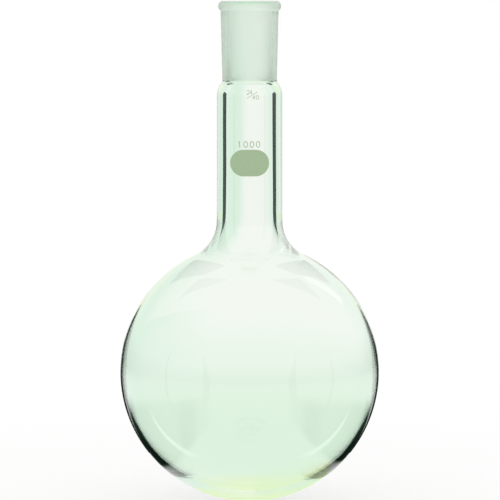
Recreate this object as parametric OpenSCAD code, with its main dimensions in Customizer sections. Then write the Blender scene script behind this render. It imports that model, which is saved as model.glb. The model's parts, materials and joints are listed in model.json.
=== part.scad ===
/* [Bulb] */
// Outside diameter of the bulb
bulb_d = 130; // [100:1:160]
// Wall of the bulb above its middle
bulb_wall = 1.5; // [1.2:0.1:3]
// Glass at the lowest point of the bulb, where it gathers while it is blown
floor_wall = 4.4; // [2:0.1:6]

/* [Neck] */
// Outside diameter of the neck
neck_d = 33; // [31:0.1:40]
// Bore of the neck
neck_bore = 23.4; // [22:0.1:26]
// Length of the straight part of the neck
neck_len = 62.6; // [40:0.2:100]
// Outside radius where the neck flows out into the bulb
shoulder_r = 19; // [12:0.5:28]
// Inside radius of the same curve
inner_shoulder_r = 26; // [14:0.5:32]

/* [Ground socket] */
// Diameter of the ground cone at the mouth
socket_d = 24; // [20:0.5:26]
// Length of the socket from its small end to the rim
socket_len = 40; // [30:1:50]
// Narrowing of the ground cone on its diameter, one part in this many
socket_taper = 10; // [9:0.5:14]
// Radius of the ground edge at the mouth
mouth_edge_r = 0.6; // [0.3:0.1:0.9]

/* [Sleeve] */
// Outside diameter of the sleeve at its foot
sleeve_foot_d = 27.4; // [26:0.1:28.4]
// Outside diameter of the sleeve under the lip
sleeve_top_d = 29.2; // [28.4:0.1:30]
// Outside diameter of the lip
lip_d = 31.4; // [30.8:0.1:33]
// Radius of the lip's rolled edge
lip_bead_r = 2.6; // [1.8:0.1:3]
// Outside radius that draws the neck in to the sleeve
collar_r = 10.5; // [6:0.5:14]

/* [Throat] */
// Straight length of the throat under the ground cone
throat_len = 2.2; // [1:0.1:5]
// Radius where the throat starts to open
throat_edge_r = 2.5; // [1:0.1:4]
// Radius where it meets the bore of the neck
throat_bell_r = 5.5; // [3:0.5:8]

/* [Marking spot] */
// Length of the oval spot round the neck
spot_len = 20.6; // [14:0.2:26]
// Height of the oval spot
spot_h = 13.2; // [8:0.2:18]
// Drop from the top of the straight neck to the middle of the spot
spot_drop = 33; // [20:0.1:45]
// Thickness of the fired enamel
enamel_t = 0.07; // [0.05:0.01:0.09]

/* [Hidden] */
$fn = 180;
bulb_r = bulb_d / 2;
cavity_r = bulb_r - bulb_wall;
floor_squash = (bulb_r - floor_wall) / cavity_r;
neck_r = neck_d / 2;
bore_r = neck_bore / 2;
mouth_r = socket_d / 2;
throat_r = (socket_d - (socket_len - mouth_edge_r) / socket_taper) / 2;
sleeve_foot_r = sleeve_foot_d / 2;
sleeve_top_r = sleeve_top_d / 2;
lip_r = lip_d / 2;

// Heights are whole micrometres, rounded down, so that arcs run into each other and never stop short
function micron(h) = floor(1000 * h) / 1000;

// The other leg of a right triangle
function leg(slant, side) = sqrt(pow(slant, 2) - pow(side, 2));

// Height over the bulb's middle of an arc that touches both a ball and a tube
function shoulder_h(ball, tube, arc) = micron(leg(ball + arc, tube + arc));

neck_base_z = bulb_r + shoulder_h(bulb_r, neck_r, shoulder_r);
bore_base_z = bulb_r + shoulder_h(cavity_r, bore_r, inner_shoulder_r);
neck_top_z = neck_base_z + neck_len;
collar_h = micron(leg(collar_r, sleeve_foot_r - neck_r + collar_r));
socket_base_z = neck_top_z + collar_h;
rim_z = socket_base_z + socket_len;
mouth_z = rim_z - mouth_edge_r;
throat_base_z = socket_base_z - throat_len;
bell_x = bore_r - throat_bell_r;
edge_x = throat_r + throat_edge_r;
bell_z = throat_base_z - micron(leg(throat_bell_r + throat_edge_r, edge_x - bell_x));
spot_z = neck_top_z - spot_drop;
past = 2;

// What lies on the outer side of the axis, between two heights
module slice(from_z, to_z, reach) {
    intersection() {
        translate([0, from_z]) square([reach, to_z - from_z]);
        children();
    }
}

// Glass between the ball's middle and the arc that leads it into a tube
module shoulder(ball, tube, arc, top_z) {
    difference() {
        polygon([[0, bulb_r], [tube + arc, top_z], [0, top_z]]);
        translate([tube + arc, top_z]) circle(r = arc);
    }
}

module outside() {
    slice(-past, bulb_d + past, bulb_r + past)
        translate([0, bulb_r]) circle(r = bulb_r);
    shoulder(bulb_r, neck_r, shoulder_r, neck_base_z);
    translate([0, neck_base_z]) square([neck_r, neck_len]);
    slice(neck_top_z, mouth_z, neck_r + past)
        translate([neck_r - collar_r, neck_top_z]) circle(r = collar_r);
    sleeve();
}

module sleeve() {
    bead_z = rim_z - lip_bead_r;
    polygon([[0, socket_base_z], [sleeve_foot_r, socket_base_z], [sleeve_top_r, bead_z], [0, bead_z]]);
    translate([lip_r - lip_bead_r, bead_z]) circle(r = lip_bead_r);
    translate([0, bead_z]) square([lip_r - lip_bead_r, lip_bead_r]);
}

module inside() {
    slice(bulb_r, bulb_d, bulb_r)
        translate([0, bulb_r]) circle(r = cavity_r);
    slice(0, bulb_r, bulb_r)
        translate([0, bulb_r]) scale([1, floor_squash]) circle(r = cavity_r);
    shoulder(cavity_r, bore_r, inner_shoulder_r, bore_base_z);
    translate([0, bore_base_z]) square([bore_r, bell_z - bore_base_z]);
    throat();
    ground_cone();
}

module throat() {
    slice(bell_z, throat_base_z, bore_r + past)
        translate([bell_x, bell_z]) circle(r = throat_bell_r);
    difference() {
        polygon([[0, bell_z], [bell_x, bell_z], [edge_x, throat_base_z], [0, throat_base_z]]);
        translate([edge_x, throat_base_z]) circle(r = throat_edge_r);
    }
    translate([0, throat_base_z]) square([throat_r, throat_len]);
}

module ground_cone() {
    polygon([[0, socket_base_z], [throat_r, socket_base_z], [mouth_r, mouth_z], [0, mouth_z]]);
    difference() {
        translate([0, mouth_z]) square([mouth_r + mouth_edge_r, mouth_edge_r + past]);
        translate([mouth_r + mouth_edge_r, mouth_z]) circle(r = mouth_edge_r);
    }
}

module flask() {
    color("honeydew")
        rotate_extrude() difference() {
            outside();
            inside();
        }
}

// The oval lies flat in front of the neck and is wrapped round it
module marking_spot() {
    end_r = spot_h / 2;
    half_turn = 90 * spot_len / (PI * neck_r);
    flat_half = (neck_r + enamel_t) * sin(half_turn) - end_r;
    color("darkseagreen")
        intersection() {
            translate([0, 0, spot_z - spot_h]) difference() {
                cylinder(r = neck_r + enamel_t, h = 2 * spot_h);
                translate([0, 0, -past]) cylinder(r = neck_r, h = 2 * spot_h + 2 * past);
            }
            translate([0, 0, spot_z]) rotate([90, 0, 0]) linear_extrude(neck_d) {
                square([2 * flat_half, spot_h], center = true);
                for (side = [-1, 1]) translate([side * flat_half, 0]) circle(r = end_r);
            }
        }
}

flask();
marking_spot();
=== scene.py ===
import json
import math

import bmesh
import bpy
from mathutils import Matrix, Vector


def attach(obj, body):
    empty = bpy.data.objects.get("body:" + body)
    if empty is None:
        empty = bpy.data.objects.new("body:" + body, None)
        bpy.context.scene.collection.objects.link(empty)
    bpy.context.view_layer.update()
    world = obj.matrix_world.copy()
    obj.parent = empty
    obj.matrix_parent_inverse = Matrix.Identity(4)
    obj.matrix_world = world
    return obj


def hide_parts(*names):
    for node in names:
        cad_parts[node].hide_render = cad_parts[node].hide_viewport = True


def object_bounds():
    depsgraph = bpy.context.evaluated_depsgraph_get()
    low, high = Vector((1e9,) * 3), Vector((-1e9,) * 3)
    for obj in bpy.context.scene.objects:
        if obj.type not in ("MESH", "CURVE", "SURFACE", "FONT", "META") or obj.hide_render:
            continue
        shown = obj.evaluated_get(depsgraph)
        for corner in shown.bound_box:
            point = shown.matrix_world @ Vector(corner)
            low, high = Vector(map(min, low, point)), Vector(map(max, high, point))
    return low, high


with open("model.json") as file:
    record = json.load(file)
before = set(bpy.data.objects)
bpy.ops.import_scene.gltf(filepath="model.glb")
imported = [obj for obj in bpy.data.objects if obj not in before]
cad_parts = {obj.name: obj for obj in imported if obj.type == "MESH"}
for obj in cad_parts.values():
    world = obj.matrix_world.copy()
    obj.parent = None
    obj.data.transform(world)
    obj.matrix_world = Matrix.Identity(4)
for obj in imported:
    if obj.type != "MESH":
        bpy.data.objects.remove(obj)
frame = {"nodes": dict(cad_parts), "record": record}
cadLow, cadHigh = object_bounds()
scene = bpy.context.scene
scene.view_settings.view_transform = "Standard"
mm = 0.001

# light turns back many times inside the thick rim and foot before it leaves, and is lost if it stops early
scene.cycles.max_bounces = 32
scene.cycles.glossy_bounces = 24
scene.cycles.transmission_bounces = 24
scene.cycles.diffuse_bounces = 16


def linearColor(hexText):
    # sRGB hex as on a paint chart, turned to the linear values that a shader wants
    channels = [int(hexText[i:i + 2], 16) / 255 for i in (1, 3, 5)]
    linear = [c / 12.92 if c <= 0.04045 else ((c + 0.055) / 1.055) ** 2.4 for c in channels]
    return (*linear, 1.0)


def addNode(tree, kind, inputs=None, **settings):
    # one node with its settings, then each input as a value, or as the socket or node that feeds it.
    # inputs go by name, or by number where a node has several of the same name
    node = tree.nodes.new(kind)
    for name, value in settings.items():
        setattr(node, name, value)
    for name, value in (inputs or {}).items():
        if isinstance(value, bpy.types.Node):
            value = next(socket for socket in value.outputs if socket.enabled)
        if isinstance(value, bpy.types.NodeSocket):
            tree.links.new(value, node.inputs[name])
        else:
            node.inputs[name].default_value = value
    return node


def newMaterial(name):
    material = bpy.data.materials.new(name)
    material.use_nodes = True
    material.node_tree.nodes.clear()
    return material


def newObject(name, data):
    obj = bpy.data.objects.new(name, data)
    scene.collection.objects.link(obj)
    return obj


# Camera: level with the lip, looking down a little at the middle of the flask
cameraValues = {
    "distance": 1.6,
    "height": 0.2488,
    "aimHeight": 0.1263,
    "sideways": 0.0002,
    "sensorWidth": 36.0,
    "focalLength": 230.3,
    "clipStart": 0.05,
    "clipEnd": 60.0,
}


def makeCamera(v):
    lens = bpy.data.cameras.new("camera")
    lens.sensor_width = v["sensorWidth"]
    lens.lens = v["focalLength"]
    lens.clip_start = v["clipStart"]
    lens.clip_end = v["clipEnd"]
    camera = newObject("camera", lens)
    camera.location = (v["sideways"], -v["distance"], v["height"])
    sight = Vector((v["sideways"], 0, v["aimHeight"])) - camera.location
    camera.rotation_euler = sight.to_track_quat("-Z", "Y").to_euler()
    scene.camera = camera


makeCamera(cameraValues)
print("camera placed")


# Glass: borosilicate, clear where it is blown and satin where it is ground
glassValues = {
    "ior": 1.473,               # borosilicate
    "soakColor": "#7CEDA0",     # iron in the batch takes red and blue before green
    "soakDensity": 0.5,         # per metre of glass
    "reamSize": 22.0,           # mm between the slow waves of a hand-blown surface
    "reamHeight": 0.02,         # mm
    "gritSize": 0.35,           # mm, coarser than real grit so that it shows
    "gritHeight": 0.01,         # mm
    "gritBump": 0.4,
    "gritSpread": (0.3, 0.7),   # from its low places to its high ones
    "groundTone": "#FDFFFD",
    "groundRoughness": (0.37, 0.47),    # in the low places and in the high ones
}


def pourGlass(tree, surface, v):
    # in the mass, clear and ground glass are the same
    mass = addNode(tree, "ShaderNodeVolumeAbsorption", {
        "Color": linearColor(v["soakColor"]), "Density": v["soakDensity"],
    })
    addNode(tree, "ShaderNodeOutputMaterial", {"Surface": surface, "Volume": mass})


def clearBorosilicate(v):
    # Blown and fire-polished: mirror-smooth with slow waves, and faintly green where the wall is deep
    material = newMaterial("clearBorosilicate")
    tree = material.node_tree
    place = addNode(tree, "ShaderNodeTexCoord").outputs["Object"]
    wave = addNode(tree, "ShaderNodeTexNoise", {
        "Vector": place, "Scale": 1 / (v["reamSize"] * mm), "Detail": 1.0, "Roughness": 0.4,
    })
    ream = addNode(tree, "ShaderNodeBump", {
        "Height": wave, "Strength": 1.0, "Distance": v["reamHeight"] * mm,
    })
    surface = addNode(tree, "ShaderNodeBsdfPrincipled", {
        "Base Color": (1, 1, 1, 1), "Roughness": 0.0, "IOR": v["ior"], "Transmission Weight": 1.0,
        "Normal": ream,
    })
    pourGlass(tree, surface, v)
    return material


def groundBorosilicate(v):
    # The same glass ground with fine grit: silky, and it lets light through but no image
    material = newMaterial("groundBorosilicate")
    tree = material.node_tree
    place = addNode(tree, "ShaderNodeTexCoord").outputs["Object"]
    grit = addNode(tree, "ShaderNodeTexNoise", {
        "Vector": place, "Scale": 1 / (v["gritSize"] * mm), "Detail": 2.0,
    })
    rough = addNode(tree, "ShaderNodeMapRange", {
        "Value": grit, "From Min": v["gritSpread"][0], "From Max": v["gritSpread"][1],
        "To Min": v["groundRoughness"][0], "To Max": v["groundRoughness"][1],
    })
    bump = addNode(tree, "ShaderNodeBump", {
        "Height": grit, "Strength": v["gritBump"], "Distance": v["gritHeight"] * mm,
    })
    surface = addNode(tree, "ShaderNodeBsdfPrincipled", {
        "Base Color": linearColor(v["groundTone"]), "Roughness": rough, "IOR": v["ior"],
        "Transmission Weight": 1.0, "Normal": bump,
    })
    pourGlass(tree, surface, v)
    return material


clearGlass = clearBorosilicate(glassValues)
groundGlass = groundBorosilicate(glassValues)


# Flask: one blown wall turned round the axis, in mm
neckGrip = next(m for m in frame["record"]["mounts"] if m["name"] == "neck_grip")
flaskValues = {
    "bulbR": (cadHigh.x - cadLow.x) / 2 / mm,
    "rimHeight": cadHigh.z / mm,
    "neckR": neckGrip["dims"]["r_mm"],
    "bulbWall": 1.5,
    "floorWall": 4.4,
    "boreR": 11.7,
    "shoulderR": 19.0,
    "innerShoulderR": 26.0,
    "socketLength": 40.0,
    "mouthR": 12.0,
    "mouthEdgeR": 0.6,
    "throatR": 10.03,       # the ground cone narrows to it by 1 in 10
    "throatLength": 2.2,
    "throatEdgeR": 2.5,
    "throatBellR": 5.5,
    "sleeveFootR": 13.7,
    "sleeveTopR": 14.6,
    "lipR": 15.7,
    "lipBeadR": 2.6,
    "collarR": 10.5,
    "collarFilletR": 1.2,
    "lipGround": 4.94,      # how far down the lip is ground outside
    "groundMargin": 0.05,   # past the mouth's edge, so that the whole cone is ground
    "ringStep": 2.6,        # between rings on the bulb, and this many times closer on the small curves
    "closer": {
        "shoulder": 2, "collar": 3, "bell": 4, "throatEdge": 6, "bead": 6, "fillet": 8, "mouthEdge": 8,
    },
    "straightRings": {"neck": 14, "sleeve": 12, "bore": 16, "throat": 3, "cone": 12},
    "samePoint": 0.01,      # rings closer than this are one
    "mergeWithin": 0.002,   # points closer than this are one, at the seam and the poles
    "segments": 360,
    "unevenness": 1.5,      # how far the bore may wander from true
    "bulbShare": 0.2,       # how much of that the thin wall of the bulb may
    "unevenSize": 40.0,     # between thick and thin places
    "unevenStretch": 0.5,   # they are drawn out to twice that along the axis
    "calmPole": 10.0,       # it grows from nothing at the pole to all of it at this radius
    "seed": 3.0,
}


def arc(middle, radius, fromDeg, toDeg, step, squash=1.0):
    count = max(4, math.ceil(abs(math.radians(toDeg - fromDeg)) * radius / step))
    turns = [math.radians(fromDeg + (toDeg - fromDeg) * i / count) for i in range(count + 1)]
    return [(middle[0] + radius * math.cos(a), middle[1] + radius * squash * math.sin(a)) for a in turns]


def line(start, end, count):
    return [(start[0] + (end[0] - start[0]) * i / count, start[1] + (end[1] - start[1]) * i / count)
            for i in range(count + 1)]


def heading(start, end):
    return math.degrees(math.atan2(end[1] - start[1], end[0] - start[0]))


def shoulderTop(v, ball, tube, radius):
    # height where an arc that leads out of the ball turns into a tube
    return v["bulbR"] + math.sqrt((ball + radius) ** 2 - (tube + radius) ** 2)


def neckPlaces(v):
    # heights of the two ends of the straight neck, and how far out the collar's middle lies
    neckBase = shoulderTop(v, v["bulbR"], v["neckR"], v["shoulderR"])
    socketBase = v["rimHeight"] - v["socketLength"]
    collarX = v["neckR"] - v["collarR"]
    neckTop = socketBase - math.sqrt(v["collarR"] ** 2 - (v["sleeveFootR"] - collarX) ** 2)
    return neckBase, neckTop, collarX


def outsidePoints(v):
    step, closer, straight = v["ringStep"], v["closer"], v["straightRings"]
    neckBase, neckTop, collarX = neckPlaces(v)
    ballMiddle = (0, v["bulbR"])
    shoulderMiddle = (v["neckR"] + v["shoulderR"], neckBase)
    lean = heading(ballMiddle, shoulderMiddle)
    points = arc(ballMiddle, v["bulbR"], -90, lean, step)
    points += arc(shoulderMiddle, v["shoulderR"], lean + 180, 180, step / closer["shoulder"])
    points += line((v["neckR"], neckBase), (v["neckR"], neckTop), straight["neck"])
    # the collar draws the neck in, and a small fillet leads it into the sleeve
    filletX = v["sleeveFootR"] + v["collarFilletR"]
    filletHeight = neckTop + math.sqrt((v["collarR"] + v["collarFilletR"]) ** 2 - (filletX - collarX) ** 2)
    bend = heading((collarX, neckTop), (filletX, filletHeight))
    points += arc((collarX, neckTop), v["collarR"], 0, bend, step / closer["collar"])
    points += arc((filletX, filletHeight), v["collarFilletR"], bend + 180, 180, step / closer["fillet"])
    beadMiddle = (v["lipR"] - v["lipBeadR"], v["rimHeight"] - v["lipBeadR"])
    beadStart = -math.degrees(math.acos((v["sleeveTopR"] - beadMiddle[0]) / v["lipBeadR"]))
    bead = arc(beadMiddle, v["lipBeadR"], beadStart, 90, step / closer["bead"])
    points += line((v["sleeveFootR"], filletHeight), bead[0], straight["sleeve"])
    return points + bead


def insidePoints(v):
    step, closer, straight = v["ringStep"], v["closer"], v["straightRings"]
    cavityR = v["bulbR"] - v["bulbWall"]
    squash = (v["bulbR"] - v["floorWall"]) / cavityR
    ballMiddle = (0, v["bulbR"])
    boreBase = shoulderTop(v, cavityR, v["boreR"], v["innerShoulderR"])
    shoulderMiddle = (v["boreR"] + v["innerShoulderR"], boreBase)
    lean = heading(ballMiddle, shoulderMiddle)
    throatTop = v["rimHeight"] - v["socketLength"]
    throatBase = throatTop - v["throatLength"]
    edgeX = v["throatR"] + v["throatEdgeR"]
    bellX = v["boreR"] - v["throatBellR"]
    bellHeight = throatBase - math.sqrt((v["throatBellR"] + v["throatEdgeR"]) ** 2 - (edgeX - bellX) ** 2)
    tilt = heading((bellX, bellHeight), (edgeX, throatBase))
    mouthEdge = (v["mouthR"] + v["mouthEdgeR"], v["rimHeight"] - v["mouthEdgeR"])
    points = arc(ballMiddle, cavityR, -90, 0, step, squash)
    points += arc(ballMiddle, cavityR, 0, lean, step)
    points += arc(shoulderMiddle, v["innerShoulderR"], lean + 180, 180, step / closer["shoulder"])
    points += line((v["boreR"], boreBase), (v["boreR"], bellHeight), straight["bore"])
    points += arc((bellX, bellHeight), v["throatBellR"], 0, tilt, step / closer["bell"])
    points += arc((edgeX, throatBase), v["throatEdgeR"], tilt + 180, 180, step / closer["throatEdge"])
    points += line((v["throatR"], throatBase), (v["throatR"], throatTop), straight["throat"])
    points += line((v["throatR"], throatTop), (v["mouthR"], mouthEdge[1]), straight["cone"])
    return points + arc(mouthEdge, v["mouthEdgeR"], 180, 90, step / closer["mouthEdge"])


def freedom(v, height):
    # how free the inside is to wander: least in the bulb, fully in the neck, not at all in throat and socket
    neckBase, _, _ = neckPlaces(v)
    bulbTop = 2 * v["bulbR"] - v["innerShoulderR"]
    rise = min(1.0, max(0.0, (height - bulbTop) / (neckBase - bulbTop)))
    underThroat = height < v["rimHeight"] - v["socketLength"] - v["throatLength"]
    return (v["bulbShare"] + (1 - v["bulbShare"]) * rise) * underThroat


def wallOutline(v):
    # up the outside, over the rim and down the inside: radius, height and freedom
    loop = [(*p, 0.0) for p in outsidePoints(v)]
    loop += [(*p, freedom(v, p[1])) for p in reversed(insidePoints(v))]
    kept = loop[:1]
    for point in loop[1:]:
        if math.dist(point[:2], kept[-1][:2]) > v["samePoint"]:
            kept.append(point)
    return kept


def outlineObject(outline):
    mesh = bpy.data.meshes.new("wallOutline")
    mesh.from_pydata([(max(0.0, r) * mm, 0, z * mm) for r, z, _ in outline],
                     [(i, i + 1) for i in range(len(outline) - 1)], [])
    mesh.attributes.new("wander", "FLOAT", "POINT").data.foreach_set("value", [p[2] for p in outline])
    return newObject("wallOutline", mesh)


def sheetOnOutline(tree, given):
    # a sheet with a column of points for each turn, and where each of them lies on the outline
    columns = addNode(tree, "ShaderNodeMath", {0: given["Segments"], 1: 1.0}, operation="ADD")
    sheet = addNode(tree, "GeometryNodeMeshGrid", {"Vertices X": columns, "Vertices Y": given["Rings"]})
    index = addNode(tree, "GeometryNodeInputIndex")
    ring = addNode(tree, "ShaderNodeMath", {0: index, 1: given["Rings"]}, operation="MODULO")
    across = addNode(tree, "ShaderNodeMath", {0: index, 1: given["Rings"]}, operation="DIVIDE")
    column = addNode(tree, "ShaderNodeMath", {0: across}, operation="FLOOR")
    part = addNode(tree, "ShaderNodeMath", {0: column, 1: given["Segments"]}, operation="DIVIDE")
    turn = addNode(tree, "ShaderNodeMath", {0: part, 1: 2 * math.pi}, operation="MULTIPLY")
    place = addNode(tree, "GeometryNodeInputPosition")
    wander = addNode(tree, "GeometryNodeInputNamedAttribute", {"Name": "wander"}, data_type="FLOAT")
    point = addNode(tree, "GeometryNodeSampleIndex", {
        "Geometry": given["Outline"], "Value": place, "Index": ring,
    }, data_type="FLOAT_VECTOR")
    free = addNode(tree, "GeometryNodeSampleIndex", {
        "Geometry": given["Outline"], "Value": wander, "Index": ring,
    }, data_type="FLOAT")
    return sheet, point, free, turn


def wanderedPoint(tree, given, point, free, turn):
    # the point, moved in or out by a slow noise and then turned round the axis
    drawnOut = addNode(tree, "ShaderNodeVectorMath", {
        0: point, 1: given["Uneven Stretch"],
    }, operation="MULTIPLY")
    noisePlace = addNode(tree, "ShaderNodeVectorRotate", {
        "Vector": drawnOut, "Angle": turn,
    }, rotation_type="Z_AXIS")
    waves = addNode(tree, "ShaderNodeMath", {0: 1.0, 1: given["Uneven Size"]}, operation="DIVIDE")
    noise = addNode(tree, "ShaderNodeTexNoise", {
        "Vector": noisePlace, "W": given["Seed"], "Scale": waves, "Detail": 1.0, "Roughness": 0.4,
    }, noise_dimensions="4D")
    bothWays = addNode(tree, "ShaderNodeMath", {0: noise, 1: 0.5}, operation="SUBTRACT")
    sway = addNode(tree, "ShaderNodeMath", {0: bothWays, 1: given["Unevenness"]}, operation="MULTIPLY")
    freed = addNode(tree, "ShaderNodeMath", {0: sway, 1: free}, operation="MULTIPLY")
    offAxis = addNode(tree, "ShaderNodeSeparateXYZ", {0: point}).outputs["X"]
    calmed = addNode(tree, "ShaderNodeMapRange", {
        "Value": offAxis, "From Max": given["Calm Pole"], "To Max": freed,
    })
    outwards = addNode(tree, "ShaderNodeCombineXYZ", {0: calmed})
    moved = addNode(tree, "ShaderNodeVectorMath", {0: point, 1: outwards}, operation="ADD")
    return addNode(tree, "ShaderNodeVectorRotate", {"Vector": moved, "Angle": turn}, rotation_type="Z_AXIS")


def groundZone(tree, given):
    # ground with grit: the cone inside the sleeve, and the lip
    place = addNode(tree, "GeometryNodeInputPosition")
    height = addNode(tree, "ShaderNodeSeparateXYZ", {0: place}).outputs["Z"]
    flat = addNode(tree, "ShaderNodeVectorMath", {0: place, 1: (1, 1, 0)}, operation="MULTIPLY")
    reach = addNode(tree, "ShaderNodeVectorMath", {0: flat}, operation="LENGTH")
    above = addNode(tree, "FunctionNodeCompare", {
        0: height, 1: given["Ground From"],
    }, operation="GREATER_THAN")
    within = addNode(tree, "FunctionNodeCompare", {
        0: reach, 1: given["Ground Radius"],
    }, operation="LESS_THAN")
    cone = addNode(tree, "FunctionNodeBooleanMath", {0: above, 1: within}, operation="AND")
    lip = addNode(tree, "FunctionNodeCompare", {
        0: height, 1: given["Lip From"],
    }, operation="GREATER_THAN")
    return addNode(tree, "FunctionNodeBooleanMath", {0: cone, 1: lip}, operation="OR")


def turnedWallTree():
    # turns an outline round the axis, lets the inside wander, and sets the ground zone
    tree = bpy.data.node_groups.new("turnedWall", "GeometryNodeTree")
    sockets = {
        "Outline": "Geometry", "Rings": "Int", "Segments": "Int",
        "Unevenness": "Float", "Uneven Size": "Float", "Uneven Stretch": "Vector", "Calm Pole": "Float",
        "Seed": "Float", "Merge Within": "Float",
        "Ground From": "Float", "Ground Radius": "Float", "Lip From": "Float",
        "Clear Glass": "Material", "Ground Glass": "Material",
    }
    for name, kind in sockets.items():
        tree.interface.new_socket(name, in_out="INPUT", socket_type="NodeSocket" + kind)
    tree.interface.new_socket("Wall", in_out="OUTPUT", socket_type="NodeSocketGeometry")
    given = addNode(tree, "NodeGroupInput").outputs
    sheet, point, free, turn = sheetOnOutline(tree, given)
    wall = addNode(tree, "GeometryNodeSetPosition", {
        "Geometry": sheet, "Position": wanderedPoint(tree, given, point, free, turn),
    })
    closed = addNode(tree, "GeometryNodeMergeByDistance", {
        "Geometry": wall, "Distance": given["Merge Within"],
    })
    smooth = addNode(tree, "GeometryNodeSetShadeSmooth", {"Geometry": closed})
    real = addNode(tree, "GeometryNodeRealizeInstances", {"Geometry": smooth})
    allClear = addNode(tree, "GeometryNodeSetMaterial", {"Geometry": real, "Material": given["Clear Glass"]})
    ended = addNode(tree, "GeometryNodeSetMaterial", {
        "Geometry": allClear, "Selection": groundZone(tree, given), "Material": given["Ground Glass"],
    })
    addNode(tree, "NodeGroupOutput", {"Wall": ended})
    return tree


def plainMesh(obj, tree, values):
    # runs the tree once and keeps what it makes as a mesh
    modifier = obj.modifiers.new(tree.name, "NODES")
    modifier.node_group = tree
    for item in tree.interface.items_tree:
        if item.name in values:
            modifier[item.identifier] = values[item.name]
    evaluated = obj.evaluated_get(bpy.context.evaluated_depsgraph_get())
    mesh = bpy.data.meshes.new_from_object(evaluated)
    obj.modifiers.remove(modifier)
    while None in list(mesh.materials):
        mesh.materials.pop(index=list(mesh.materials).index(None))
    return mesh


def faceOutwards(mesh):
    # a turned sheet may come out inside out
    work = bmesh.new()
    work.from_mesh(mesh)
    bmesh.ops.recalc_face_normals(work, faces=work.faces)
    if work.calc_volume(signed=True) < 0:
        bmesh.ops.reverse_faces(work, faces=work.faces)
    openEdges = sum(1 for e in work.edges if not e.is_manifold)
    volume = work.calc_volume()
    work.to_mesh(mesh)
    work.free()
    return openEdges, volume


def makeFlask(v):
    outline = wallOutline(v)
    source = outlineObject(outline)
    mesh = plainMesh(source, turnedWallTree(), {
        "Rings": len(outline), "Segments": v["segments"],
        "Unevenness": v["unevenness"] * mm, "Uneven Size": v["unevenSize"] * mm,
        "Uneven Stretch": (1.0, 1.0, v["unevenStretch"]), "Calm Pole": v["calmPole"] * mm,
        "Seed": v["seed"], "Merge Within": v["mergeWithin"] * mm,
        "Ground From": (v["rimHeight"] - v["socketLength"]) * mm,
        "Ground Radius": (v["mouthR"] + v["mouthEdgeR"] + v["groundMargin"]) * mm,
        "Lip From": (v["rimHeight"] - v["lipGround"]) * mm,
        "Clear Glass": clearGlass, "Ground Glass": groundGlass,
    })
    bpy.data.objects.remove(source)
    openEdges, volume = faceOutwards(mesh)
    mesh.name = "flaskWall"
    triangles = sum(len(p.vertices) - 2 for p in mesh.polygons)
    print("flask turned:", len(outline), "rings,", triangles, "triangles,", openEdges, "open edges,",
          round(volume / mm ** 3 / 1000, 1), "cm3,", [m.name for m in mesh.materials])
    return newObject("flask_wall", mesh)


flaskPiece = makeFlask(flaskValues)
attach(flaskPiece, "root")
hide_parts("flask")


# Enamel: the writing spot is the CAD node, and the figures are printed in the same ink
enamelValues = {
    "lightTone": "#A9C09B",
    "darkTone": "#9DB58F",
    "mottleSize": 1.1,      # mm between the cloudy patches of a screen print
    "grainSize": 0.12,      # mm, the chalky tooth that a pencil takes to
    "grainHeight": 0.01,    # mm
    "grainBump": 0.5,
    "roughness": 0.55,
}


def firedEnamel(v):
    # Ceramic ink screened on and fired: flat, chalky and a little cloudy
    material = newMaterial("firedEnamel")
    tree = material.node_tree
    place = addNode(tree, "ShaderNodeTexCoord").outputs["Object"]
    mottle = addNode(tree, "ShaderNodeTexNoise", {
        "Vector": place, "Scale": 1 / (v["mottleSize"] * mm), "Detail": 3.0,
    })
    grain = addNode(tree, "ShaderNodeTexNoise", {
        "Vector": place, "Scale": 1 / (v["grainSize"] * mm), "Detail": 2.0,
    })
    tone = addNode(tree, "ShaderNodeMix", {
        0: mottle, 6: linearColor(v["darkTone"]), 7: linearColor(v["lightTone"]),
    }, data_type="RGBA")
    bump = addNode(tree, "ShaderNodeBump", {
        "Height": grain, "Strength": v["grainBump"], "Distance": v["grainHeight"] * mm,
    })
    surface = addNode(tree, "ShaderNodeBsdfPrincipled", {
        "Base Color": tone, "Roughness": v["roughness"], "Normal": bump,
    })
    addNode(tree, "ShaderNodeOutputMaterial", {"Surface": surface})
    return material


enamel = firedEnamel(enamelValues)
spotMesh = frame["nodes"]["marking_spot"].data
spotMesh.materials.clear()
spotMesh.materials.append(enamel)
print("marking spot enamelled")


# Print: joint size and volume in plain figures, in mm on the unrolled neck
printValues = {
    "figures": {
        "print_volume": {
            "text": "1000", "height": 2.9, "pitch": 3.1, "across": -0.4, "up": 180.0, "stroke": 0.40,
        },
        "print_joint_bore": {
            "text": "24", "height": 2.2, "pitch": 1.6, "across": -0.1, "up": 205.8, "stroke": 0.26,
        },
        "print_joint_length": {
            "text": "40", "height": 2.0, "pitch": 1.85, "across": 3.0, "up": 203.3, "stroke": 0.26,
        },
    },
    "slash": {"start": (-1.3, 202.8), "end": (4.1, 206.1), "stroke": 0.24},
    "slimness": 0.62,           # width of a figure against its height
    "curveStep": 0.05,          # between points of a round stroke, against the figure's height
    "step": 0.2,                # between points of every stroke
    "inkThickness": 0.05,
    "inkGap": 0.006,            # over the glass, so that the two never share a face
    "closedWithin": 0.0001,     # a stroke whose ends are this close is a ring
}


def figureStrokes(step):
    # strokes of each figure, one unit high, drawn as a draughtsman's stencil does
    return {
        "0": [arc((0, 0.5), 0.5, 90, 450, step)],
        "1": [[(-0.25, 0.8), (0, 1), (0, 0)]],
        "2": [arc((0, 0.55), 0.45, 165, -35, step) + [(-0.45, 0), (0.48, 0)]],
        "4": [[(0.22, 0), (0.22, 1), (-0.5, 0.3), (0.5, 0.3)]],
    }


def spacedPoints(path, step):
    points = [Vector(path[0])]
    for start, end in zip(path, path[1:]):
        reach = (Vector(end) - Vector(start)).length
        count = max(1, math.ceil(reach / step))
        points += [Vector(start).lerp(Vector(end), i / count) for i in range(1, count + 1)]
    return points


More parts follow.
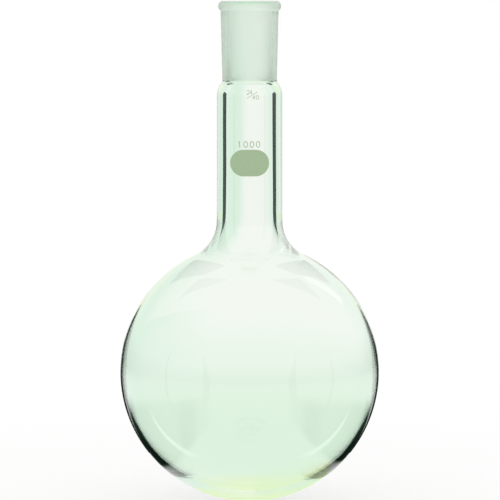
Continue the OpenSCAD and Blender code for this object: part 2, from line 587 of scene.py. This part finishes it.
def outsideRadius(flask, height):
    # how far the outside of the neck lies from the axis, along the neck and up the collar
    _, neckTop, collarX = neckPlaces(flask)
    rise = max(0.0, height - neckTop)
    return collarX + math.sqrt(flask["collarR"] ** 2 - rise ** 2)


def onNeck(across, up, lift, flask):
    radius = outsideRadius(flask, up) + lift
    turn = across / flask["neckR"]
    return Vector((radius * math.sin(turn), -radius * math.cos(turn), up)) * mm


def inkStroke(work, path, width, v, flask):
    # a flat bar of ink along the path, bent round the neck with it
    points = spacedPoints(path, v["step"])
    closed = (points[0] - points[-1]).length < v["closedWithin"]
    if closed:
        points = points[:-1]
    low, high = v["inkGap"], v["inkGap"] + v["inkThickness"]
    rings = []
    for i, point in enumerate(points):
        before = points[i - 1] if i > 0 or closed else point
        after = points[(i + 1) % len(points)] if i + 1 < len(points) or closed else point
        side = (after - before).orthogonal().normalized() * width / 2
        corners = ((point - side, low), (point + side, low), (point + side, high), (point - side, high))
        rings.append([work.verts.new(onNeck(p.x, p.y, lift, flask)) for p, lift in corners])
    pairs = list(zip(rings, rings[1:])) + ([(rings[-1], rings[0])] if closed else [])
    for a, b in pairs:
        for k in range(4):
            work.faces.new((a[k], a[(k + 1) % 4], b[(k + 1) % 4], b[k]))
    if not closed:
        work.faces.new(rings[0])
        work.faces.new(rings[-1])


def inkPiece(name, strokes, width, v, flask):
    work = bmesh.new()
    for path in strokes:
        inkStroke(work, path, width, v, flask)
    bmesh.ops.recalc_face_normals(work, faces=work.faces)
    openEdges = sum(1 for e in work.edges if not e.is_manifold)
    mesh = bpy.data.meshes.new(name)
    work.to_mesh(mesh)
    work.free()
    mesh.materials.append(enamel)
    piece = newObject(name, mesh)
    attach(piece, "root")
    print(name, "printed:", len(mesh.polygons), "faces,", openEdges, "open edges")


def textStrokes(lettering, v):
    # figures side by side, their middle at the given place
    drawn = figureStrokes(v["curveStep"])
    strokes = []
    for i, character in enumerate(lettering["text"]):
        middle = lettering["across"] + (i - (len(lettering["text"]) - 1) / 2) * lettering["pitch"]
        width, height = lettering["height"] * v["slimness"], lettering["height"]
        for path in drawn[character]:
            strokes.append([(middle + x * width, lettering["up"] + (y - 0.5) * height) for x, y in path])
    return strokes


for printName, lettering in printValues["figures"].items():
    inkPiece(printName, textStrokes(lettering, printValues), lettering["stroke"], printValues, flaskValues)
slash = printValues["slash"]
inkPiece("print_slash", [[slash["start"], slash["end"]]], slash["stroke"], printValues, flaskValues)


# Studio: white all round. A pair says where a soft patch is nothing and where it is full
studioValues = {
    "floorRadius": 1.15,
    "floorSides": 128,
    "paper": "#F7F9F5",
    "shadowShare": 0.25,
    "shadowEdge": (0.5, 0.12),      # the shadow stays near the foot, and the sheet runs out to white
    "room": 0.30,                   # painted dim reflection: what the glass mirrors on the camera's side, against the white behind
    "roomBack": (0.99, 0.88),       # the painted dim reflection turns white only where the glass is seen edge on
    "roomUp": (0.2, -0.05),         # and overhead
    "roomFloor": 0.2,               # from this radius out the mirrored sheet fades into the painted dim reflection
    # painted shade: the sheet and the world seen through the glass take a pale green shade
    "paperSeen": "#DAF2DC",
    "farSeen": "#F4F9F2",
    "farFrom": 0.1,
    "downSeen": (0.05, 0.12),       # light that comes down from the rim has gone this much further
    # painted shade, darker and greener to the left, seen where the glass turns light aside
    "sideSeen": "#DAF1DF",
    "sideRight": 0.2,               # how much of it stands on the right
    "sideWall": (0.01, 0.12),
    "sideWallBack": (0.4, 0.7),
    "sideFloor": (0.02, 0.14),
    "sideFloorBack": (0.0, 0.1),
    # painted light: a yellow green in what the thick foot throws back from low over the table
    "lowThrown": "#E4F6D2",
    "lowBack": (0.85, 0.95),
    "lowStart": (-0.015, -0.005),
    "lowEnd": (0.25, 0.125),
    # painted pool of light on the paper at the foot, standing for what the bulb gathers
    "footMiddle": (0.012, 0.0, 0.0),
    "footEdge": (0.048, 0.036),
    "footColor": "#E6F8BE",
    "footSeen": "#DDF4C0",          # the same, through the thick glass of the foot
    "footSeenEdge": (0.034, 0.0),
    # painted shade: the dark foot of the cards on the sheet, to both sides of the foot, seen only in the
    # glass
    "cardColor": "#22362B",
    "cardsEnd": (0.28, 0.168),
    "cardsMiddle": 0.003,
    "cardsBeside": (0.051, 0.060),
    "cardsDiagonal": (0.45, 0.6),   # for light thrown back
    "cardsAside": (0.42, 0.50),     # for mirrored light
    # painted light: bright lines on the paper to both sides, as the bulb would draw them, seen only mirrored
    # in the bulb
    "streakSlope": 0.36,
    "streakAhead": -0.06,
    "streakStart": (0.036, 0.054),
    "streakEnd": (0.187, 0.102),
    "streakEdge": (0.006, 0.0),
    "streakGlow": 2.0,
}


def lightKinds(tree):
    # light that a single wall of the glass has thrown back once, and light that its outside mirrors
    path = addNode(tree, "ShaderNodeLightPath").outputs
    thrown = path["Is Transmission Ray"]
    for depth, operation, limit in (
        ("Glossy Depth", "GREATER_THAN", 0.5),
        ("Transmission Depth", "LESS_THAN", 2.5),
        ("Diffuse Depth", "LESS_THAN", 0.5),
    ):
        fits = addNode(tree, "ShaderNodeMath", {0: path[depth], 1: limit}, operation=operation)
        thrown = addNode(tree, "ShaderNodeMath", {0: thrown, 1: fits}, operation="MULTIPLY")
    mirrored = addNode(tree, "ShaderNodeMath", {
        0: path["Is Glossy Ray"], 1: path["Is Reflection Ray"],
    }, operation="MULTIPLY")
    return path, thrown, mirrored


def softPatch(tree, share, *edges):
    # a patch that holds the share inside all its edges, each a value with where it is nothing and full
    for value, (nothing, full) in edges:
        share = addNode(tree, "ShaderNodeMapRange", {
            "Value": value, "From Min": nothing, "From Max": full, "To Max": share,
        }, interpolation_type="SMOOTHSTEP")
    return share


def layeredColor(tree, color, *layers):
    # colours laid one over another, each with the share that it covers
    for share, hexText in layers:
        color = addNode(tree, "ShaderNodeMix", {
            0: share, 6: color, 7: linearColor(hexText),
        }, data_type="RGBA")
    return color


def leftward(tree, x, v):
    # distance to the left, and a little of the distance to the right
    left = addNode(tree, "ShaderNodeMath", {0: x, 1: -1.0}, operation="MULTIPLY")
    right = addNode(tree, "ShaderNodeMath", {0: x, 1: v["sideRight"]}, operation="MULTIPLY")
    return addNode(tree, "ShaderNodeMath", {0: left, 1: right}, operation="MAXIMUM")


def makeWorld(v):
    world = bpy.data.worlds.new("studio")
    scene.world = world
    world.use_nodes = True
    tree = world.node_tree
    tree.nodes.clear()
    path, thrown, mirrored = lightKinds(tree)
    outward = addNode(tree, "ShaderNodeTexCoord").outputs["Generated"]
    way = addNode(tree, "ShaderNodeSeparateXYZ", {0: outward}).outputs
    # painted shade: light through the glass sees the world pale green, darker and greener to the left
    side = softPatch(tree, 1.0, (way["Y"], v["sideWallBack"]), (leftward(tree, way["X"], v), v["sideWall"]))
    # painted light low down, seen only by light that the glass throws back
    low = softPatch(tree, thrown, (way["Y"], v["lowBack"]), (way["Z"], v["lowStart"]),
                    (way["Z"], v["lowEnd"]))
    seen = layeredColor(tree, linearColor(v["farSeen"]), (side, v["sideSeen"]), (low, v["lowThrown"]))
    color = addNode(tree, "ShaderNodeMix", {
        0: path["Is Transmission Ray"], 6: (1, 1, 1, 1), 7: seen,
    }, data_type="RGBA")
    # painted dim reflection: mirrored light sees the world darker, except edge on and overhead
    notBack = softPatch(tree, mirrored, (way["Y"], v["roomBack"]))
    notUp = softPatch(tree, mirrored, (way["Z"], v["roomUp"]))
    dim = addNode(tree, "ShaderNodeMath", {0: notBack, 1: notUp}, operation="MINIMUM")
    strength = addNode(tree, "ShaderNodeMapRange", {"Value": dim, "To Min": 1.0, "To Max": v["room"]})
    background = addNode(tree, "ShaderNodeBackground", {"Color": color, "Strength": strength})
    addNode(tree, "ShaderNodeOutputWorld", {"Surface": background})


def seenPaperShade(tree, v, path, spot, radius):
    # painted shade: through the glass the sheet shows a pale green shade, greener to the left, and is paler
    # to light that comes from the rim
    far = softPatch(tree, 1.0, (radius, (v["farFrom"], v["floorRadius"])))
    left = leftward(tree, spot["X"], v)
    side = softPatch(tree, 1.0, (spot["Y"], v["sideFloorBack"]), (left, v["sideFloor"]))
    further = addNode(tree, "ShaderNodeMath", {0: path["Ray Length"], 1: radius}, operation="SUBTRACT")
    down = softPatch(tree, 1.0, (further, v["downSeen"]))
    return layeredColor(tree, linearColor(v["paperSeen"]), (far, v["farSeen"]), (side, v["sideSeen"]),
                        (down, v["farSeen"]))


def cardFootShade(tree, v, mirrored, spot, radius, toFoot):
    # painted shade, the dark foot of the cards: light thrown back shows it on the diagonals, mirrored light
    # to the sides
    aside = addNode(tree, "ShaderNodeMath", {0: spot["X"]}, operation="ABSOLUTE")
    along = addNode(tree, "ShaderNodeMath", {0: spot["Y"]}, operation="ABSOLUTE")
    smaller = addNode(tree, "ShaderNodeMath", {0: aside, 1: along}, operation="MINIMUM")
    diagonal = addNode(tree, "ShaderNodeMath", {0: smaller, 1: radius}, operation="DIVIDE")
    total = addNode(tree, "ShaderNodeMath", {0: aside, 1: along}, operation="ADD")
    slant = addNode(tree, "ShaderNodeMath", {0: aside, 1: total}, operation="DIVIDE")
    facing = addNode(tree, "ShaderNodeMix", {
        0: mirrored, 2: softPatch(tree, 1.0, (diagonal, v["cardsDiagonal"])),
        3: softPatch(tree, 1.0, (slant, v["cardsAside"])),
    })
    fromMiddle = addNode(tree, "ShaderNodeMath", {0: spot["X"], 1: v["cardsMiddle"]}, operation="SUBTRACT")
    beside = addNode(tree, "ShaderNodeMath", {0: fromMiddle}, operation="ABSOLUTE")
    return softPatch(tree, facing, (radius, v["cardsEnd"]), (toFoot, v["footEdge"][::-1]),
                     (beside, v["cardsBeside"]))


def paintedStreaks(tree, v, mirrored, spot):
    # painted light lines on the paper, seen only in what the outside of the bulb mirrors
    aside = addNode(tree, "ShaderNodeMath", {0: spot["X"]}, operation="ABSOLUTE")
    middle = addNode(tree, "ShaderNodeMath", {
        0: aside, 1: v["streakSlope"], 2: v["streakAhead"],
    }, operation="MULTIPLY_ADD")
    fromLine = addNode(tree, "ShaderNodeMath", {0: spot["Y"], 1: middle}, operation="SUBTRACT")
    offLine = addNode(tree, "ShaderNodeMath", {0: fromLine}, operation="ABSOLUTE")
    return softPatch(tree, mirrored, (offLine, v["streakEdge"]), (aside, v["streakStart"]),
                     (aside, v["streakEnd"]))


def whitePaper(v):
    # Matt white paper, over-exposed but for the shadow at the foot. The glass shows it with painted shade
    # and painted light
    material = newMaterial("whitePaper")
    tree = material.node_tree
    path, thrown, mirrored = lightKinds(tree)
    place = addNode(tree, "ShaderNodeTexCoord").outputs["Object"]
    spot = addNode(tree, "ShaderNodeSeparateXYZ", {0: place}).outputs
    radius = addNode(tree, "ShaderNodeVectorMath", {0: place}, operation="LENGTH")
    toFoot = addNode(tree, "ShaderNodeVectorMath", {0: place, 1: v["footMiddle"]}, operation="DISTANCE")

    # mirrored in the glass it fades into the painted dim reflection, so that no edge of the sheet shows
    faded = softPatch(tree, mirrored, (radius, (v["roomFloor"], v["floorRadius"])))
    strength = addNode(tree, "ShaderNodeMapRange", {"Value": faded, "To Min": 1.0, "To Max": v["room"]})
    white = addNode(tree, "ShaderNodeEmission", {"Color": (1, 1, 1, 1), "Strength": strength})
    shadowed = softPatch(tree, v["shadowShare"], (radius, v["shadowEdge"]))
    paper = addNode(tree, "ShaderNodeBsdfDiffuse", {"Color": linearColor(v["paper"])})

    shadeThrough = seenPaperShade(tree, v, path, spot, radius)
    # painted pool of light under the foot, as the thick glass shows it
    footLightSeenShare = softPatch(tree, 1.0, (radius, v["footSeenEdge"]))
    seen = addNode(tree, "ShaderNodeEmission", {"Color": layeredColor(tree, shadeThrough, (footLightSeenShare, v["footSeen"]))})

    # what the lower wall throws back or mirrors is a painted pool of light at the foot, and painted shade
    # beside it
    footLight = softPatch(tree, 1.0, (toFoot, v["footEdge"]))
    paintedDark = cardFootShade(tree, v, mirrored, spot, radius, toFoot)
    either = addNode(tree, "ShaderNodeMath", {0: paintedDark, 1: footLight}, operation="MAXIMUM")
    mirroredBack = addNode(tree, "ShaderNodeMath", {0: mirrored, 1: either}, operation="MULTIPLY")
    backShare = addNode(tree, "ShaderNodeMath", {0: thrown, 1: mirroredBack}, operation="MAXIMUM")
    back = addNode(tree, "ShaderNodeEmission", {
        "Color": layeredColor(tree, shadeThrough, (footLight, v["footColor"]), (paintedDark, v["cardColor"])),
    })
    bright = addNode(tree, "ShaderNodeEmission", {"Color": (1, 1, 1, 1), "Strength": v["streakGlow"]})

    layers = (
        (shadowed, paper),
        (path["Is Transmission Ray"], seen),
        (backShare, back),
        (paintedStreaks(tree, v, mirrored, spot), bright),
    )
    surface = white
    for share, over in layers:
        surface = addNode(tree, "ShaderNodeMixShader", {0: share, 1: surface, 2: over})
    addNode(tree, "ShaderNodeOutputMaterial", {"Surface": surface})
    return material


def makeFloor(v):
    work = bmesh.new()
    bmesh.ops.create_circle(work, cap_ends=True, segments=v["floorSides"], radius=v["floorRadius"])
    mesh = bpy.data.meshes.new("paperFloor")
    work.to_mesh(mesh)
    work.free()
    mesh.materials.append(whitePaper(v))
    newObject("paper_floor", mesh)


# Black cards stood behind the glass on both sides, as on a product table, but hidden from the camera,
# diffuse light and shadows: painted dark reflections that draw its dark lines
cardValues = {
    # round the bulb, as angle over the middle, and how far its light is turned at the inner and outer edge
    "bulb": {
        "behind": 0.060,
        "nearest": 0.055,       # light that left the glass closer than this passes the card
        "edges": ((28, 18, 20), (15, 14, 34), (0, 9, 42), (-12, 5, 42), (-25, 0, 34), (-43, -1, 25)),
        "mirroredTo": 26,       # the outside of the glass shows it only this far
        "overFloor": 0.0002,
        "turns": (0, 90, 180, 270),
    },
    # beside the neck, as distance from the axis and height
    "neck": {
        "behind": 0.022,
        "nearest": 0.020,
        "corners": ((0.036, 0.136), (0.068, 0.136), (0.068, 0.213), (0.040, 0.213), (0.033, 0.207)),
        "mirroredTo": None,     # the outside of the neck doesn't show it
        "turns": (0, 180),
    },
}


def bulbCard(v, ball):
    # a horn that follows the edge of the bulb
    inner, outer = [], []
    for angle, innerTurn, outerTurn in v["edges"]:
        for turn, edge in ((innerTurn, inner), (outerTurn, outer)):
            reach = ball + v["behind"] * math.tan(math.radians(turn))
            height = ball + reach * math.sin(math.radians(angle))
            edge.append((reach * math.cos(math.radians(angle)), max(height, v["overFloor"])))
    return [(inner[k], outer[k], outer[k + 1], inner[k + 1]) for k in range(len(inner) - 1)]


def darkReflectionCard(name, v, ball, cardColor):
    # painted dark reflection: seen only by light that the wall throws back once, and near the glass in what
    # its outside mirrors
    material = newMaterial(name)
    tree = material.node_tree
    path, seen, mirrored = lightKinds(tree)
    if v["mirroredTo"] is not None:
        reach = ball + v["behind"] * math.tan(math.radians(v["mirroredTo"]))
        place = addNode(tree, "ShaderNodeTexCoord").outputs["Object"]
        away = addNode(tree, "ShaderNodeVectorMath", {0: place, 1: (0, 0, ball)}, operation="DISTANCE")
        near = addNode(tree, "ShaderNodeMath", {
            0: away, 1: math.hypot(reach, v["behind"]),
        }, operation="LESS_THAN")
        mirroredNear = addNode(tree, "ShaderNodeMath", {0: mirrored, 1: near}, operation="MULTIPLY")
        seen = addNode(tree, "ShaderNodeMath", {0: seen, 1: mirroredNear}, operation="MAXIMUM")
    far = addNode(tree, "ShaderNodeMath", {0: path["Ray Length"], 1: v["nearest"]}, operation="GREATER_THAN")
    share = addNode(tree, "ShaderNodeMath", {0: far, 1: seen}, operation="MULTIPLY")
    clear = addNode(tree, "ShaderNodeBsdfTransparent")
    paintedDark = addNode(tree, "ShaderNodeEmission", {"Color": linearColor(cardColor)})
    surface = addNode(tree, "ShaderNodeMixShader", {0: share, 1: clear, 2: paintedDark})
    addNode(tree, "ShaderNodeOutputMaterial", {"Surface": surface})
    return material


def standCards(name, outlines, v, ball, cardColor):
    # one card on each side of the axis, turned to each view
    work = bmesh.new()
    for turn in v["turns"]:
        spin = Matrix.Rotation(math.radians(turn), 3, "Z")
        for outline in outlines:
            for side in (-1, 1):
                corners = [spin @ Vector((side * x, v["behind"], z)) for x, z in outline]
                work.faces.new([work.verts.new(corner) for corner in corners])
    mesh = bpy.data.meshes.new(name)
    work.to_mesh(mesh)
    work.free()
    mesh.materials.append(darkReflectionCard(name, v, ball, cardColor))
    cards = newObject(name, mesh)
    for kind in ("camera", "diffuse", "volume_scatter", "shadow"):
        setattr(cards, "visible_" + kind, False)


def makeCards(v, flask, cardColor):
    ball = flask["bulbR"] * mm
    standCards("bulb_cards", bulbCard(v["bulb"], ball), v["bulb"], ball, cardColor)
    standCards("neck_cards", [v["neck"]["corners"]], v["neck"], ball, cardColor)


makeWorld(studioValues)
makeFloor(studioValues)
makeCards(cardValues, flaskValues, studioValues["cardColor"])


# Soft box: seen only as a pale streak mirrored high on the bulb
softBoxValues = {
    "toward": (0.609, 0.539, 0.583),
    "distance": 1.245,
    "width": 0.15,
    "height": 0.52,
    "watts": 0.20,
}


def makeSoftBox(v, aim):
    light = bpy.data.lights.new("overBox", "AREA")
    light.shape = "RECTANGLE"
    light.size = v["width"]
    light.size_y = v["height"]
    light.energy = v["watts"]
    box = newObject("overBox", light)
    toward = Vector(v["toward"]).normalized()
    box.location = aim + toward * v["distance"]
    box.rotation_euler = toward.to_track_quat("Z", "Y").to_euler()
    box.visible_camera = False
    box.visible_transmission = False


makeSoftBox(softBoxValues, Vector((0, 0, cadHigh.z / 2)))
print("studio lit")
